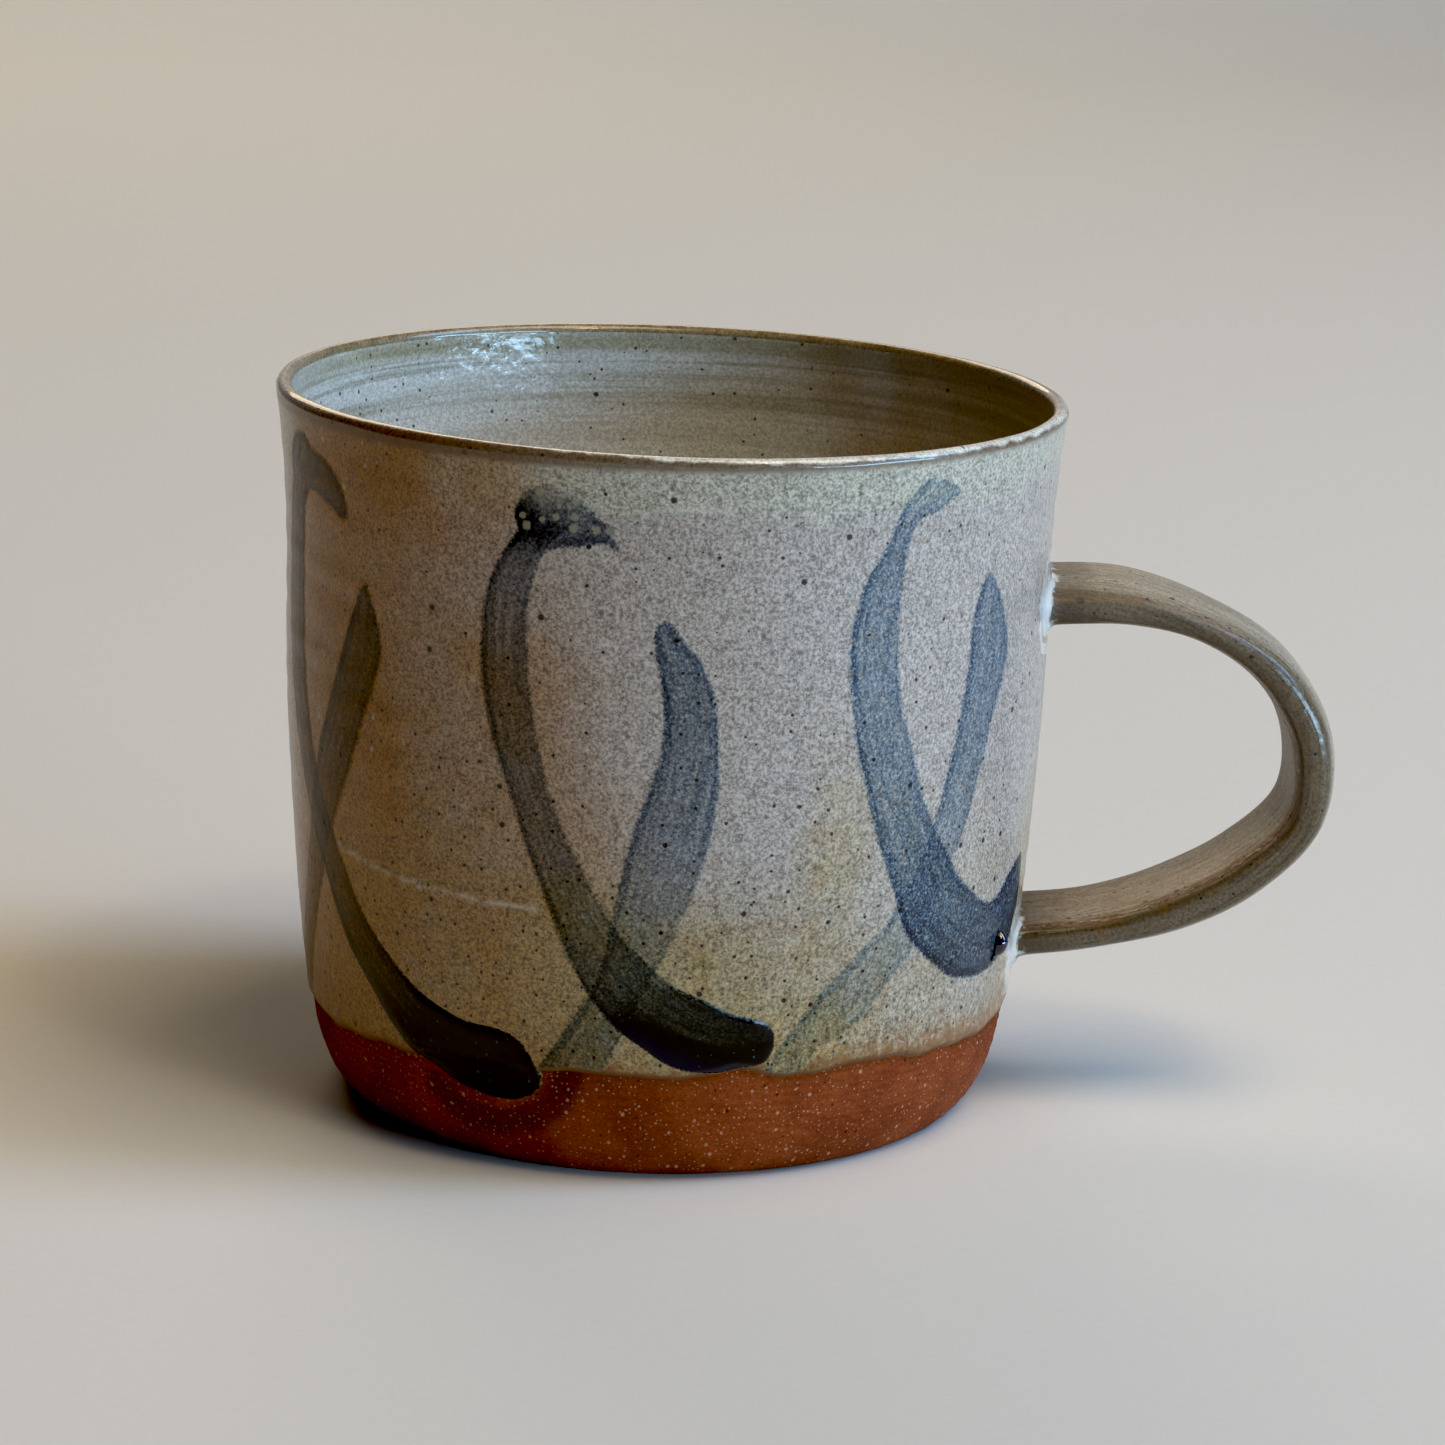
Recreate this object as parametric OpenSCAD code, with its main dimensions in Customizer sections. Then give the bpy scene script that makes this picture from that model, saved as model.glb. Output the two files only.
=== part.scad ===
// Hand-thrown stoneware mug: a thrown cup, a pulled strap handle, three glaze coats
// and cobalt brushwork. Millimetres, +Z up, handle towards +X, base centre at the origin.

/* [Cup] */
// Height from the table to the top of the lip
height = 82; // [70:0.5:95]
// Radius of the flat base where it meets the table
foot_r = 35.8; // [33:0.1:38]
// How far the rounded heel swells out from the base
heel = 4.2; // [3:0.1:5]
// Height over which the heel turns upright
heel_turn = 4.35; // [3:0.05:6]
// Extra radius gained between the heel and the belly
belly = 3.65; // [2:0.05:5]
// Height at which the wall stops widening
belly_z = 60; // [50:1:65]
// Outward flare of the lip
flare = 1.45; // [0.5:0.05:2.5]
// Thickness of the glazed lip
lip_t = 1.8; // [1.6:0.1:2.5]
// Thickness of the glazed wall down at the floor
base_wall_t = 4.6; // [3.5:0.1:5.5]
// Thickness of the glazed floor
floor_t = 5; // [4:0.1:7]
// Radius of the cove between floor and wall
cove_r = 9; // [6:0.5:11]

/* [Glaze] */
// Thickness of the outer glaze coat
glaze_t = 0.35; // [0.25:0.05:0.5]
// Thickness of the liner glaze coat
liner_t = 0.3; // [0.2:0.05:0.4]
// Height of the lower edge of the outer glaze above the table
glaze_z = 12.6; // [10:0.1:16]
// Height over which the glaze edge rounds down to the bare clay
glaze_edge = 1.4; // [0.8:0.1:2.5]
// Depth of the band where both coats overlap on the lip
lip_band = 0.9; // [0.7:0.1:1.2]

/* [Handle] */
// Width of the strap at its upper root
strap_top_w = 18.4; // [16:0.1:20]
// Width of the strap half way round
strap_mid_w = 15.6; // [14:0.1:18]
// Width of the strap at its lower root
strap_low_w = 16.6; // [14:0.1:18]
// Thickness of the strap where it leaves the cup, glaze not counted
strap_t = 4.3; // [4:0.1:5.5]
// How far the pressed-on clay spreads round each root
root_flare = 1.5; // [0.8:0.1:2]
// Length of the pressed-on clay, and of the glaze gathered over it, along the strap
root_len = 5.5; // [4:0.5:7]
// Extra glaze gathered in the angle at each root
pool_t = 0.6; // [0.4:0.05:0.9]

/* [Brushwork] */
// Height of the brush colour above the glaze
stroke_t = 0.16; // [0.1:0.02:0.3]
// Height of the colour where it has run together at the end of a stroke
run_t = 0.45; // [0.3:0.05:0.6]
// Radius of the bead of glaze beside the lower root
bead_r = 1.1; // [0.8:0.1:1.5]

/* [Hidden] */
$fn = 120;

CLAY = [0.55, 0.28, 0.18];
GLAZE = [0.63, 0.61, 0.57];
LINER = [0.66, 0.68, 0.67];
LIP = [0.72, 0.66, 0.60];
HANDLE = [0.50, 0.47, 0.42];
POOL = [0.80, 0.82, 0.80];
COBALT = [0.27, 0.31, 0.43];
NAVY = [0.06, 0.07, 0.16];

// Heights at which the wall's profile is worked out
lip_z = height - lip_band;
rise = 3;
flare_power = 10;

// ---- profile of the cup ----------------------------------------------------------

// Radius of the finished outer surface at height z
function wall_r(z) =
    foot_r + heel * (1 - exp(-z / heel_turn)) + belly * sin(90 * min(z / belly_z, 1))
    + flare * pow(z / height, flare_power);

// How much of the glaze's full thickness lies at height z
function glaze_share(z) = sqrt(min(max((z - glaze_z) / glaze_edge, 0), 1));

// Radius of the outer face of the clay: flush with the finished surface on the bare foot
function clay_r(z) = wall_r(z) - glaze_t * min(max(z / glaze_z, 0), 1) * min(z / glaze_z, 1);

// Thickness of the finished wall at height z
function wall_t(z) = lip_t + (base_wall_t - lip_t) * pow(1 - z / height, 1.6);

// Radius of the finished inner surface at height z, coved down to the floor
function bore_r(z) =
    let (up = min(z - floor_t, cove_r))
    wall_r(z) - wall_t(z) - cove_r + sqrt(max(cove_r * cove_r - pow(cove_r - up, 2), 0));

function lerp(a, b, t) = a + (b - a) * t;
function heights(low, high, step) =
    let (n = ceil((high - low) / step)) [for (i = [0:n]) lerp(low, high, i / n)];

// Inner profile at a depth below the finished surface, from the floor up to height high
function inner_line(depth, high) = concat(
    [for (a = [0:10:80]) let (z = floor_t + cove_r * (1 - cos(a)) - depth)
        [bore_r(z + depth) + depth * sin(a), z + depth * (1 - cos(a))]],
    [for (z = heights(floor_t + cove_r, high, rise)) [bore_r(z) + depth, z]]);

// Lip: the top of the wall is half an ellipse, taken inwards by a depth
function lip_line(depth) =
    let (out = wall_r(lip_z) - lip_t / 2)
    [for (a = [0:15:180]) [out + (lip_t / 2 - depth) * cos(a), lip_z + (lip_band - depth) * sin(a)]];

function clay_outer_line() = concat(
    [for (z = heights(0, glaze_z, 1)) [clay_r(z), z]],
    [for (z = heights(glaze_z, lip_z, rise)) if (z > glaze_z) [clay_r(z), z]]);

function reversed(v) = [for (i = [len(v) - 1:-1:0]) v[i]];

module thrown_body() {
    color(CLAY) rotate_extrude()
        polygon(concat([[0, 0]], clay_outer_line(), lip_line(glaze_t),
                       reversed(inner_line(liner_t, lip_z - 0.01)), [[0, floor_t - liner_t]]));
}

module outer_glaze() {
    rings = [for (z = heights(glaze_z, lip_z, rise)) z];
    edge = [for (t = [0.05, 0.2, 0.5]) glaze_z + glaze_edge * t];
    levels = concat(edge, [for (z = rings) if (z > glaze_z + glaze_edge) z]);
    color(GLAZE) difference() {
        rotate_extrude()
            polygon(concat([[clay_r(glaze_z), glaze_z]],
                           [for (z = levels) [lerp(clay_r(z), wall_r(z), glaze_share(z)), z]],
                           reversed([for (z = rings) if (z > glaze_z) [clay_r(z), z]])));
        root_cut(0);
        root_cut(last_station);
    }
}

module liner_glaze() {
    color(LINER) rotate_extrude()
        polygon(concat([[0, floor_t]], inner_line(0, lip_z), reversed(inner_line(liner_t, lip_z)),
                       [[0, floor_t - liner_t]]));
}

module lip_glaze() {
    color(LIP) rotate_extrude() polygon(concat(lip_line(0), reversed(lip_line(glaze_t))));
}

// ---- handle ----------------------------------------------------------------------

// Strap from its upper root to the lower one: the centre line's X and Z, and the thickness
// there as a share of the thickness at the upper root. Pulling leaves it uneven.
strap_path = [[43.4, 59.3, 1], [52.8, 59.2, 0.9], [61.8, 56.7, 0.75], [69.7, 51.6, 0.95],
              [74.4, 43.6, 1.1], [74.1, 34.4, 1.05], [67.8, 27.5, 1.1], [59.6, 23, 1.05],
              [50.6, 20.4, 0.9], [41.3, 19.1, 0.9]];
last_station = len(strap_path) - 1;
strap_sides = 24;

// Squareness of the strap's section: crowned outside, nearly flat on the fingers' side
crown_power = 2.6;
flat_power = 4;

// Catmull-Rom curve through a list of points, with u counting the points
function curve_at(p, u) =
    let (n = len(p) - 1, i = min(floor(u), n - 1), t = u - i,
         a = i > 0 ? p[i - 1] : 2 * p[0] - p[1], b = p[i], c = p[i + 1],
         d = i + 2 <= n ? p[i + 2] : 2 * p[n] - p[n - 1])
    0.5 * (2 * b + (c - a) * t + (2 * a - 5 * b + 4 * c - d) * t * t
           + (3 * b - a - 3 * c + d) * t * t * t);

function strap_w(u) =
    let (v = u / last_station * 2 - 1)
    lerp(strap_mid_w, v < 0 ? strap_top_w : strap_low_w, v * v);

function flat_point(p) = [p[0], p[1]];
function strap_line(u) = flat_point(curve_at(strap_path, u));

// Straight distance from a station to the nearer root
function root_run(u) = min(norm(strap_line(u) - strap_line(0)),
                           norm(strap_line(u) - strap_line(last_station)));

function rounded(v, power) = sign(v) * pow(abs(v), 2 / power);

// One cross-section of the strap, grown outwards by g. Close to a root it is slid along X
// until its last ring lies on the clay of the cup.
function strap_ring(u, g) =
    let (c = curve_at(strap_path, u),
         along = strap_line(min(u + 0.01, last_station)) - strap_line(max(u - 0.01, 0)),
         out = [-along[1], along[0]] / norm(along),
         half_t = strap_t * c[2] / 2 + g,
         seat = pow(max(1 - root_run(u) / root_len, 0), 2))
    [for (k = [0:strap_sides - 1])
        let (a = 360 * k / strap_sides, power = a < 180 ? crown_power : flat_power,
             y = (strap_w(u) / 2 + g) * rounded(cos(a), power),
             h = half_t * rounded(sin(a), power),
             x = c[0] + out[0] * h, z = c[1] + out[1] * h,
             on_cup = sqrt(pow(clay_r(z), 2) - y * y))
        [lerp(x, on_cup, seat), y, z]];

// Solid skin over a list of rings, capped at both ends or joined end to end
module skin(rings, loop) {
    m = len(rings);
    n = len(rings[0]);
    last = loop ? m - 1 : m - 2;
    function at(i, k) = (i % m) * n + k % n;
    sides = [for (i = [0:last], k = [0:n - 1])
        each [[at(i, k), at(i, k + 1), at(i + 1, k)], [at(i + 1, k), at(i, k + 1), at(i + 1, k + 1)]]];
    caps = loop ? [] : [for (k = [1:n - 2])
        each [[0, k + 1, k], [at(m - 1, 0), at(m - 1, k), at(m - 1, k + 1)]]];
    polyhedron([for (r = rings) each r], concat(sides, caps));
}

// Stations along the strap between two places, closer together near the ends
function stations(from, to, n) = [for (i = [0:n]) lerp(from, to, (1 - cos(180 * i / n)) / 2)];

module pulled_handle() {
    color(CLAY) skin([for (u = stations(0, last_station, 34)) strap_ring(u, 0)], false);
}

// How far the pressed-on clay, and the glaze gathered over it, stand out from the strap at
// a station. Both thin out to a feather at the end of their length.
feather_t = 0.05;
function fade(u) = max(1 - root_run(u) / root_len, 0);
function clay_spread(u) = feather_t + root_flare * pow(fade(u), 2.6);
function pool_spread(u) = clay_spread(u) + lerp(glaze_t - feather_t, pool_t, fade(u));

// Station at which a collar from either root ends, and the stations from there to the cup
function collar_end(root) = abs(root - root_len / norm(
    strap_line(root == 0 ? 1 : last_station - 1) - strap_line(root)));
function collar_stations(root) =
    [for (i = [0:6]) lerp(min(root, collar_end(root)), max(root, collar_end(root)), i / 6)];

// Collar round the strap, between two spreads that are functions of the station
module collar(root, low, high) {
    us = collar_stations(root);
    skin(concat([for (u = us) strap_ring(u, high(u))],
                [for (u = reversed(us)) strap_ring(u, low(u))]), true);
}

module handle_joint(root) {
    color(CLAY) collar(root, function(u) 0, function(u) clay_spread(u));
}

module glaze_pool(root) {
    color(POOL) collar(root, function(u) clay_spread(u), function(u) pool_spread(u));
}

module handle_glaze() {
    us = stations(collar_end(0), collar_end(last_station), 30);
    color(HANDLE) skin(concat([for (u = us) strap_ring(u, glaze_t)],
                              [for (u = reversed(us)) strap_ring(u, 0)]), true);
}

// Opening in the outer glaze where the strap, its clay and its glaze stand on the cup
module root_cut(root) {
    ring = strap_ring(root, pool_spread(root));
    translate([foot_r, 0, 0]) rotate([90, 0, 90])
        linear_extrude(height) polygon([for (p = ring) [p[1], p[2]]]);
}

// ---- brushwork -------------------------------------------------------------------

// Azimuth of each motif's middle, counted from the front of the cup towards the handle
motif_azimuth = [-8, 47, 124, 181, 238, -63];

// A motif is a falling stroke that sweeps right into a run of thick colour, and a shorter
// stroke that crosses over it to the left. Each station is azimuth in degrees, height,
// width, thickness as a share of the plain stroke's, and 1 where it lies on the other stroke.
falling = [[-3, 77, 2.5, 1, 0], [-8, 76.2, 5.5, 1, 0], [-12, 73.8, 5, 1, 0],
           [-14.6, 68, 4.6, 1, 0], [-15.2, 60, 5.4, 1, 0], [-14.2, 52, 5.4, 1, 0],
           [-10.6, 42, 5.2, 1, 0], [-5.8, 33, 5.2, 1, 0], [-0.5, 25.5, 5.6, 1, 0],
           [6, 19.8, 6.4, 1.4, 0], [13.5, 17.6, 7.2, 2.6, 0], [21, 17.6, 6.6, 2.8, 0],
           [25.5, 18.6, 3.5, 1.6, 0]];
crossing = [[7, 64.2, 1, 1, 0], [9.6, 60, 3.6, 1, 0], [11.6, 54, 5.6, 1, 0],
            [11.8, 48, 6.2, 1, 0], [9.6, 40.5, 6.3, 1, 0], [6.2, 33, 6.2, 1, 1],
            [2.4, 27.5, 5.8, 1, 1], [-1.5, 22.8, 5, 1, 1], [-6.5, 17.5, 4.6, 1, 0],
            [-9.5, 14.6, 4, 0.8, 0]];
ribs = 4;
hair = 0.03;

// Point on the glazed wall, lifted clear of it
function on_wall(azimuth, z, lift) =
    [(wall_r(z) + lift) * sin(azimuth), -(wall_r(z) + lift) * cos(azimuth), z];

// Cross-section of a stroke: a thin lens lying on the wall, square to the stroke's direction
function stroke_ring(path, u) =
    let (s = curve_at(path, u), e = 0.02,
         a = curve_at(path, max(u - e, 0)), b = curve_at(path, min(u + e, len(path) - 1)),
         deg = 180 / (PI * wall_r(s[1])),
         run = [(b[0] - a[0]) / deg, b[1] - a[1]], dir = run / norm(run),
         across = [dir[1] * deg, -dir[0]] * s[2] / 2,
         base = hair + s[4] * (stroke_t + 2 * hair),
         crown = min(stroke_t * s[3], run_t),
         cuts = [for (k = [0:ribs]) k / ribs * 2 - 1])
    concat([for (t = cuts) on_wall(s[0] + across[0] * t, s[1] + across[1] * t,
                                   base + crown * (1 - 0.6 * t * t))],
           [for (t = reversed(cuts)) on_wall(s[0] + across[0] * t, s[1] + across[1] * t, base)]);

module stroke(path, azimuth) {
    rings = 2 * (len(path) - 1);
    moved = [for (p = path) [p[0] + azimuth, p[1], p[2], p[3], p[4]]];
    skin([for (i = [0:rings]) stroke_ring(moved, i / 2)], false);
}

module brushwork(i) {
    color(NAVY) stroke(falling, motif_azimuth[i]);
    color(COBALT) stroke(crossing, motif_azimuth[i]);
}

// Round bead of colour on the wall, beside the lower root
bead_azimuth = 67;
bead_z = 22.4;
module glaze_bead() {
    color(NAVY) difference() {
        translate(on_wall(bead_azimuth, bead_z, bead_r * 0.4)) sphere(bead_r, $fn = 32);
        translate([0, 0, bead_z - height / 2]) cylinder(height, r = wall_r(bead_z));
    }
}

thrown_body();
pulled_handle();
handle_joint(0);  // upper_handle_joint
handle_joint(last_station);  // lower_handle_joint
outer_glaze();
liner_glaze();
lip_glaze();
handle_glaze();
glaze_pool(0);  // upper_glaze_pool
glaze_pool(last_station);  // lower_glaze_pool
brushwork(0);  // brushwork_front
brushwork(1);  // brushwork_right
brushwork(2);  // brushwork_back_right
brushwork(3);  // brushwork_back
brushwork(4);  // brushwork_back_left
brushwork(5);  // brushwork_left
glaze_bead();
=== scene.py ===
"""Hand-thrown stoneware mug with cobalt brushwork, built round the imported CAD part.

Sizes are in millimetres and azimuths in degrees, counted from the front of the cup (-Y)
towards the handle (+X), until a mesh is made, which is in metres.
"""
import math

import bpy
import numpy as np
from mathutils import Matrix, Vector


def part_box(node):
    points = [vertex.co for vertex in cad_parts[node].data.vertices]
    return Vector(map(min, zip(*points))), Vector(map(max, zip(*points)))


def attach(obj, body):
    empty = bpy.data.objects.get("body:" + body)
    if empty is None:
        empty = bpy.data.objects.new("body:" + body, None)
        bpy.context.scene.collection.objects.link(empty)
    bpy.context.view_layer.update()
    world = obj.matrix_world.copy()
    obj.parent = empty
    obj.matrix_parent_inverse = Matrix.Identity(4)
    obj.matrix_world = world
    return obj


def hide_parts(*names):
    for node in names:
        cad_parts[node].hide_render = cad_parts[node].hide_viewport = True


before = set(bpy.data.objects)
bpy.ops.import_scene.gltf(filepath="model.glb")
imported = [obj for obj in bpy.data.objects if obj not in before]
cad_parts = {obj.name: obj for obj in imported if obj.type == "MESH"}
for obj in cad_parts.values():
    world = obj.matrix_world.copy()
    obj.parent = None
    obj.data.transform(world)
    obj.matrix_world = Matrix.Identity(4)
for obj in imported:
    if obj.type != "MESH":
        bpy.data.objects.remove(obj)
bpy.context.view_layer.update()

MM = 0.001

# ---- sizes shared with the CAD part ------------------------------------------------

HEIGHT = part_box("lip_glaze")[1].z / MM
FOOT_R, HEEL, HEEL_TURN = 35.8, 4.2, 4.35
BELLY, BELLY_Z, FLARE, FLARE_POWER = 3.65, 60, 1.45, 10
LIP_T, LIP_BAND, BASE_WALL_T, FLOOR_T, COVE_R = 1.8, 0.9, 4.6, 5, 9
GLAZE_T, GLAZE_Z = 0.35, 12.6
LIP_Z = HEIGHT - LIP_BAND
STRAP_W = (18.4, 15.6, 16.6)
STRAP_T, CROWN_POWER, FLAT_POWER = 4.3, 2.6, 4
STRAP_PATH = [(43.4, 59.3, 1), (52.8, 59.2, 0.9), (61.8, 56.7, 0.75), (69.7, 51.6, 0.95),
              (74.4, 43.6, 1.1), (74.1, 34.4, 1.05), (67.8, 27.5, 1.1), (59.6, 23, 1.05),
              (50.6, 20.4, 0.9), (41.3, 19.1, 0.9)]
ROOT_LEN = 5.5

MEAN_R = 43.2               # radius at which the wall is unrolled
TO_MM = math.radians(1) * MEAN_R

# ---- what the hand left ------------------------------------------------------------

RIM_TILT = -0.0124          # rise of the rim per mm towards the handle
EDGE = [(-180, 12.4), (-150, 13.0), (-120, 12.2), (-90, 11.2), (-62, 10.8), (-45, 11.6),
        (-17, 12.7), (-8, 13.1), (4, 12.6), (12, 13.8), (20, 12.5), (35, 13.0), (57, 11.7),
        (66, 11.5), (90, 12.2), (120, 12.8), (150, 12.1), (180, 12.4)]

# Brush strokes. Each has a left and a right edge, as azimuth and height from the stroke's
# start to its end; its flow: share of the length, strength of colour, depth of run; how blue
# it is; and spots where it is darker or lighter: place, half sizes, change of strength.
FRONT = [
    dict(left=[(-17, 78.3), (-20, 77.2), (-21.5, 75), (-21.1, 73), (-23, 70.9), (-25.5, 67),
               (-26.6, 62), (-26.5, 56), (-25, 50), (-22.6, 45.2), (-18.8, 37), (-14.2, 28),
               (-9.6, 21.7), (-6, 18.6), (-2.5, 16.7), (2.5, 14.3), (8.5, 13.5), (14, 14.1),
               (16.7, 14.6), (18, 16)],
         right=[(-15.6, 78), (-12.6, 77.2), (-11, 76), (-9.4, 74.8), (-7.4, 74.1), (-7.6, 73),
                (-6.7, 71.6), (-9, 72.3), (-12, 71.9), (-15.4, 71.5), (-17.4, 70.7),
                (-19.2, 67), (-19.7, 61.5), (-19.1, 55), (-17.4, 48.4), (-15.2, 42.6),
                (-11.3, 36.5), (-7.2, 30.9), (-2, 26.5), (2.4, 23.7), (6.8, 22.1),
                (11.1, 20.4), (16, 19.3), (18, 17.8)],
         flow=[(0, 1.1, 0), (0.08, 1.3, 0), (0.14, 1.1, 0), (0.2, 0.95, 0), (0.5, 0.95, 0),
               (0.64, 0.95, 0), (0.74, 1.4, 0.25), (0.82, 2.4, 0.8), (1, 2.8, 1)],
         blue=0.25, spots=[(-20.5, 73.8, 3.8, 1.9, 3.4), (-13, 78.0, 8, 2.0, -0.85),
                          (-14, 73, 5, 1.0, 0.5), (1.5, 24.5, 4, 1.8, -0.45)]),
    dict(left=[(-0.4, 64.4), (-1.6, 63.2), (-1.5, 61.2), (-0.7, 58.5), (0, 54), (-0.3, 50),
               (-1.5, 46.6), (-4, 40.8), (-6.3, 33.3), (-8.4, 25.5), (-10.8, 21.4),
               (-13.2, 18.7), (-15.6, 15.7), (-19, 12.6), (-21, 11)],
         right=[(0.4, 64.2), (1.6, 63), (3.4, 61.4), (5, 59.8), (6.9, 56), (7.6, 51.5),
                (7.8, 46.5), (7.1, 41.4), (5.2, 35.5), (2, 29.1), (-1.6, 23.3),
                (-4.5, 18.5), (-6.6, 15.6), (-8.5, 13), (-10, 11)],
         flow=[(0, 1.3, 0), (0.3, 1.05, 0), (0.5, 0.72, 0), (0.7, 0.62, 0), (0.85, 0.9, 0),
               (1, 1.0, 0)], blue=0.55, spots=[]),
]
RIGHT = [
    dict(left=[(39.4, 79), (37.4, 78.9), (35.8, 77.4), (33.9, 75.8), (31.9, 72), (28.7, 68.2),
               (27, 63.8), (26.6, 60), (27.8, 53), (29.9, 46.3), (33, 38.9), (36.6, 32.8),
               (39, 28.2), (42.6, 25.3), (46.4, 23.1), (50, 21.3), (54.2, 20.2), (60, 19.6),
               (66, 20), (71.5, 21.4), (74.3, 23.8), (75.4, 26.7), (75, 29.6), (74, 31.2)],
         right=[(40.7, 78.8), (42.4, 78.4), (44.4, 77), (42.6, 76.2), (40.1, 75.2),
                (37.4, 74.6), (35.6, 72.6), (34.9, 68), (34.5, 61), (35.6, 54.6),
                (37.9, 49.7), (41.3, 42.7), (45.5, 37.5), (50.5, 32.7), (54, 30.6),
                (57.6, 28.7), (60.8, 27.9), (64, 28.5), (67, 29.8), (70, 30.8), (73, 31.6)],
         flow=[(0, 0.8, 0), (0.1, 1.0, 0), (0.3, 0.95, 0), (0.48, 1.0, 0), (0.62, 1.8, 0.05),
               (0.74, 3.0, 0.2), (0.9, 3.8, 0.4), (1, 3.2, 0.4)],
         blue=1.0, spots=[(40, 77.5, 6, 3, -0.35), (52, 29, 5, 3, -0.2)]),
    dict(left=[(53, 67.2), (51.5, 66.2), (50, 63.9), (49.1, 61), (48.9, 57), (48.2, 53.5),
               (47, 48.6), (45.1, 43.2), (43, 38.6), (40, 34), (36, 29.5), (31.5, 26.6),
               (26, 22.9), (21.7, 18.9), (17.5, 14.5), (16, 12)],
         right=[(54, 66.8), (55.9, 64.6), (58.2, 61), (59, 58), (57.6, 53.6), (55.6, 50),
                (53.7, 44.5), (51.1, 38.7), (48.2, 34.8), (44.5, 29.5), (40.6, 25),
                (36.9, 22.3), (33, 18.7), (29, 17), (24.5, 15), (22, 12)],
         flow=[(0, 1.15, 0), (0.3, 1.05, 0), (0.45, 0.8, 0), (0.55, 0.5, 0), (0.7, 0.5, 0),
               (1, 0.42, 0)], blue=1.0, spots=[]),
]
LEFT = [
    dict(left=[(-64, 78.4), (-68, 78), (-71, 76), (-71.6, 73.5), (-73.4, 70.5), (-75.6, 66),
               (-76.6, 60), (-75.6, 53), (-73, 46), (-69, 39), (-65.4, 34), (-62.3, 30.2),
               (-58.6, 25.6), (-54.5, 21.5), (-50.4, 18.5), (-46.8, 15.7), (-43.5, 13.5),
               (-40.3, 11.9), (-36.8, 11), (-33.4, 9.8), (-29.6, 9), (-26, 8.6),
               (-22.7, 8.7), (-19.6, 9.5)],
         right=[(-62, 77.1), (-58, 76.4), (-55, 75.2), (-53, 73.2), (-52.6, 71), (-54.4, 70.6),
                (-57.4, 71.6), (-63, 72.4), (-66, 70.4), (-67.6, 65), (-68, 58), (-67, 50),
                (-64, 42.5), (-59.4, 36), (-56.6, 32.5), (-53.4, 28.9), (-50.3, 26),
                (-46.7, 23.6), (-42.7, 21.3), (-38.5, 19.3), (-34.5, 18.1), (-30, 17.2),
                (-25, 17), (-21.4, 16.1), (-19.2, 14.1), (-17.8, 12), (-18, 10.6)],
         flow=[(0, 1.2, 0), (0.12, 1.1, 0), (0.25, 0.9, 0), (0.5, 0.95, 0), (0.62, 1.3, 0.05),
               (0.72, 2.0, 0.5), (0.83, 2.8, 1), (1, 3, 1)], blue=0.0, spots=[]),
    dict(left=[(-48.6, 64), (-50.7, 61.9), (-52.6, 59), (-55, 55.2), (-57.3, 51.2),
               (-61.4, 44.7), (-64.6, 39), (-67.6, 33), (-71, 27), (-75, 21.5), (-79, 17),
               (-83, 13)],
         right=[(-48, 63.8), (-46.4, 61.1), (-45.2, 57.4), (-46.3, 54.2), (-48.9, 49.6),
                (-52, 44.3), (-55.3, 39.4), (-58.8, 35), (-62, 30), (-65.6, 25),
                (-69.6, 19.5), (-73, 15), (-75, 12)],
         flow=[(0, 1.2, 0), (0.3, 1.05, 0), (0.55, 0.8, 0), (0.75, 0.7, 0), (1, 0.5, 0)],
         blue=0.15, spots=[]),
]


def smooth(low, high, x):
    t = np.clip((x - low) / (high - low), 0, 1)
    return t * t * (3 - 2 * t)


def waves(seed, count, turns, lengths, *where):
    """Slow random lumps, about -1 to 1, that close up round the cup."""
    az, z = where
    r = np.random.default_rng(seed)
    total = 0
    for _ in range(count):
        k, length = r.integers(turns[0], turns[1] + 1), r.uniform(*lengths)
        total = total + np.sin(np.radians(az) * k + 2 * np.pi * z / length + r.uniform(0, 6.3))
    return total / math.sqrt(count)


# ---- shape of the cup --------------------------------------------------------------

def wall_r(z):
    return (FOOT_R + HEEL * (1 - np.exp(-z / HEEL_TURN))
            + BELLY * np.sin(np.pi / 2 * np.clip(z / BELLY_Z, 0, 1))
            + FLARE * np.clip(z / HEIGHT, 0, 2) ** FLARE_POWER)


def clay_r(z):
    u = np.clip(z / GLAZE_Z, 0, 1)
    return wall_r(z) - GLAZE_T * u * u


def bore_r(z):
    up = np.clip(z - FLOOR_T, 0, COVE_R)
    wall_t = LIP_T + (BASE_WALL_T - LIP_T) * np.clip(1 - z / HEIGHT, 0, 1) ** 1.6
    return wall_r(z) - wall_t - COVE_R + np.sqrt(COVE_R ** 2 - (COVE_R - up) ** 2)


def wall_bump(az, z):
    """Fingers' ridges and slow lumps left in the thrown wall."""
    ridge = np.sin(2 * np.pi * (z + az / 360 * 5.2) / 5.2 + waves(3, 4, (1, 3), (30, 60), az, z))
    lumps = 0.10 * waves(5, 6, (1, 5), (26, 80), az, z)
    return (lumps + 0.035 * ridge * (0.6 + 0.4 * waves(9, 3, (1, 2), (40, 90), az, z))
            + 0.02 * waves(11, 5, (5, 14), (3, 9), az, z)) * smooth(0, 6, z)


def edge_z(az):
    """Height of the glaze's lower edge."""
    knots = np.array(EDGE, float)
    a = (az + 180) % 360 - 180
    ripple = 0.16 * waves(21, 8, (8, 40), (50, 90), az, 0 * az)
    return np.interp(a, knots[:, 0], knots[:, 1]) + ripple


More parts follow.
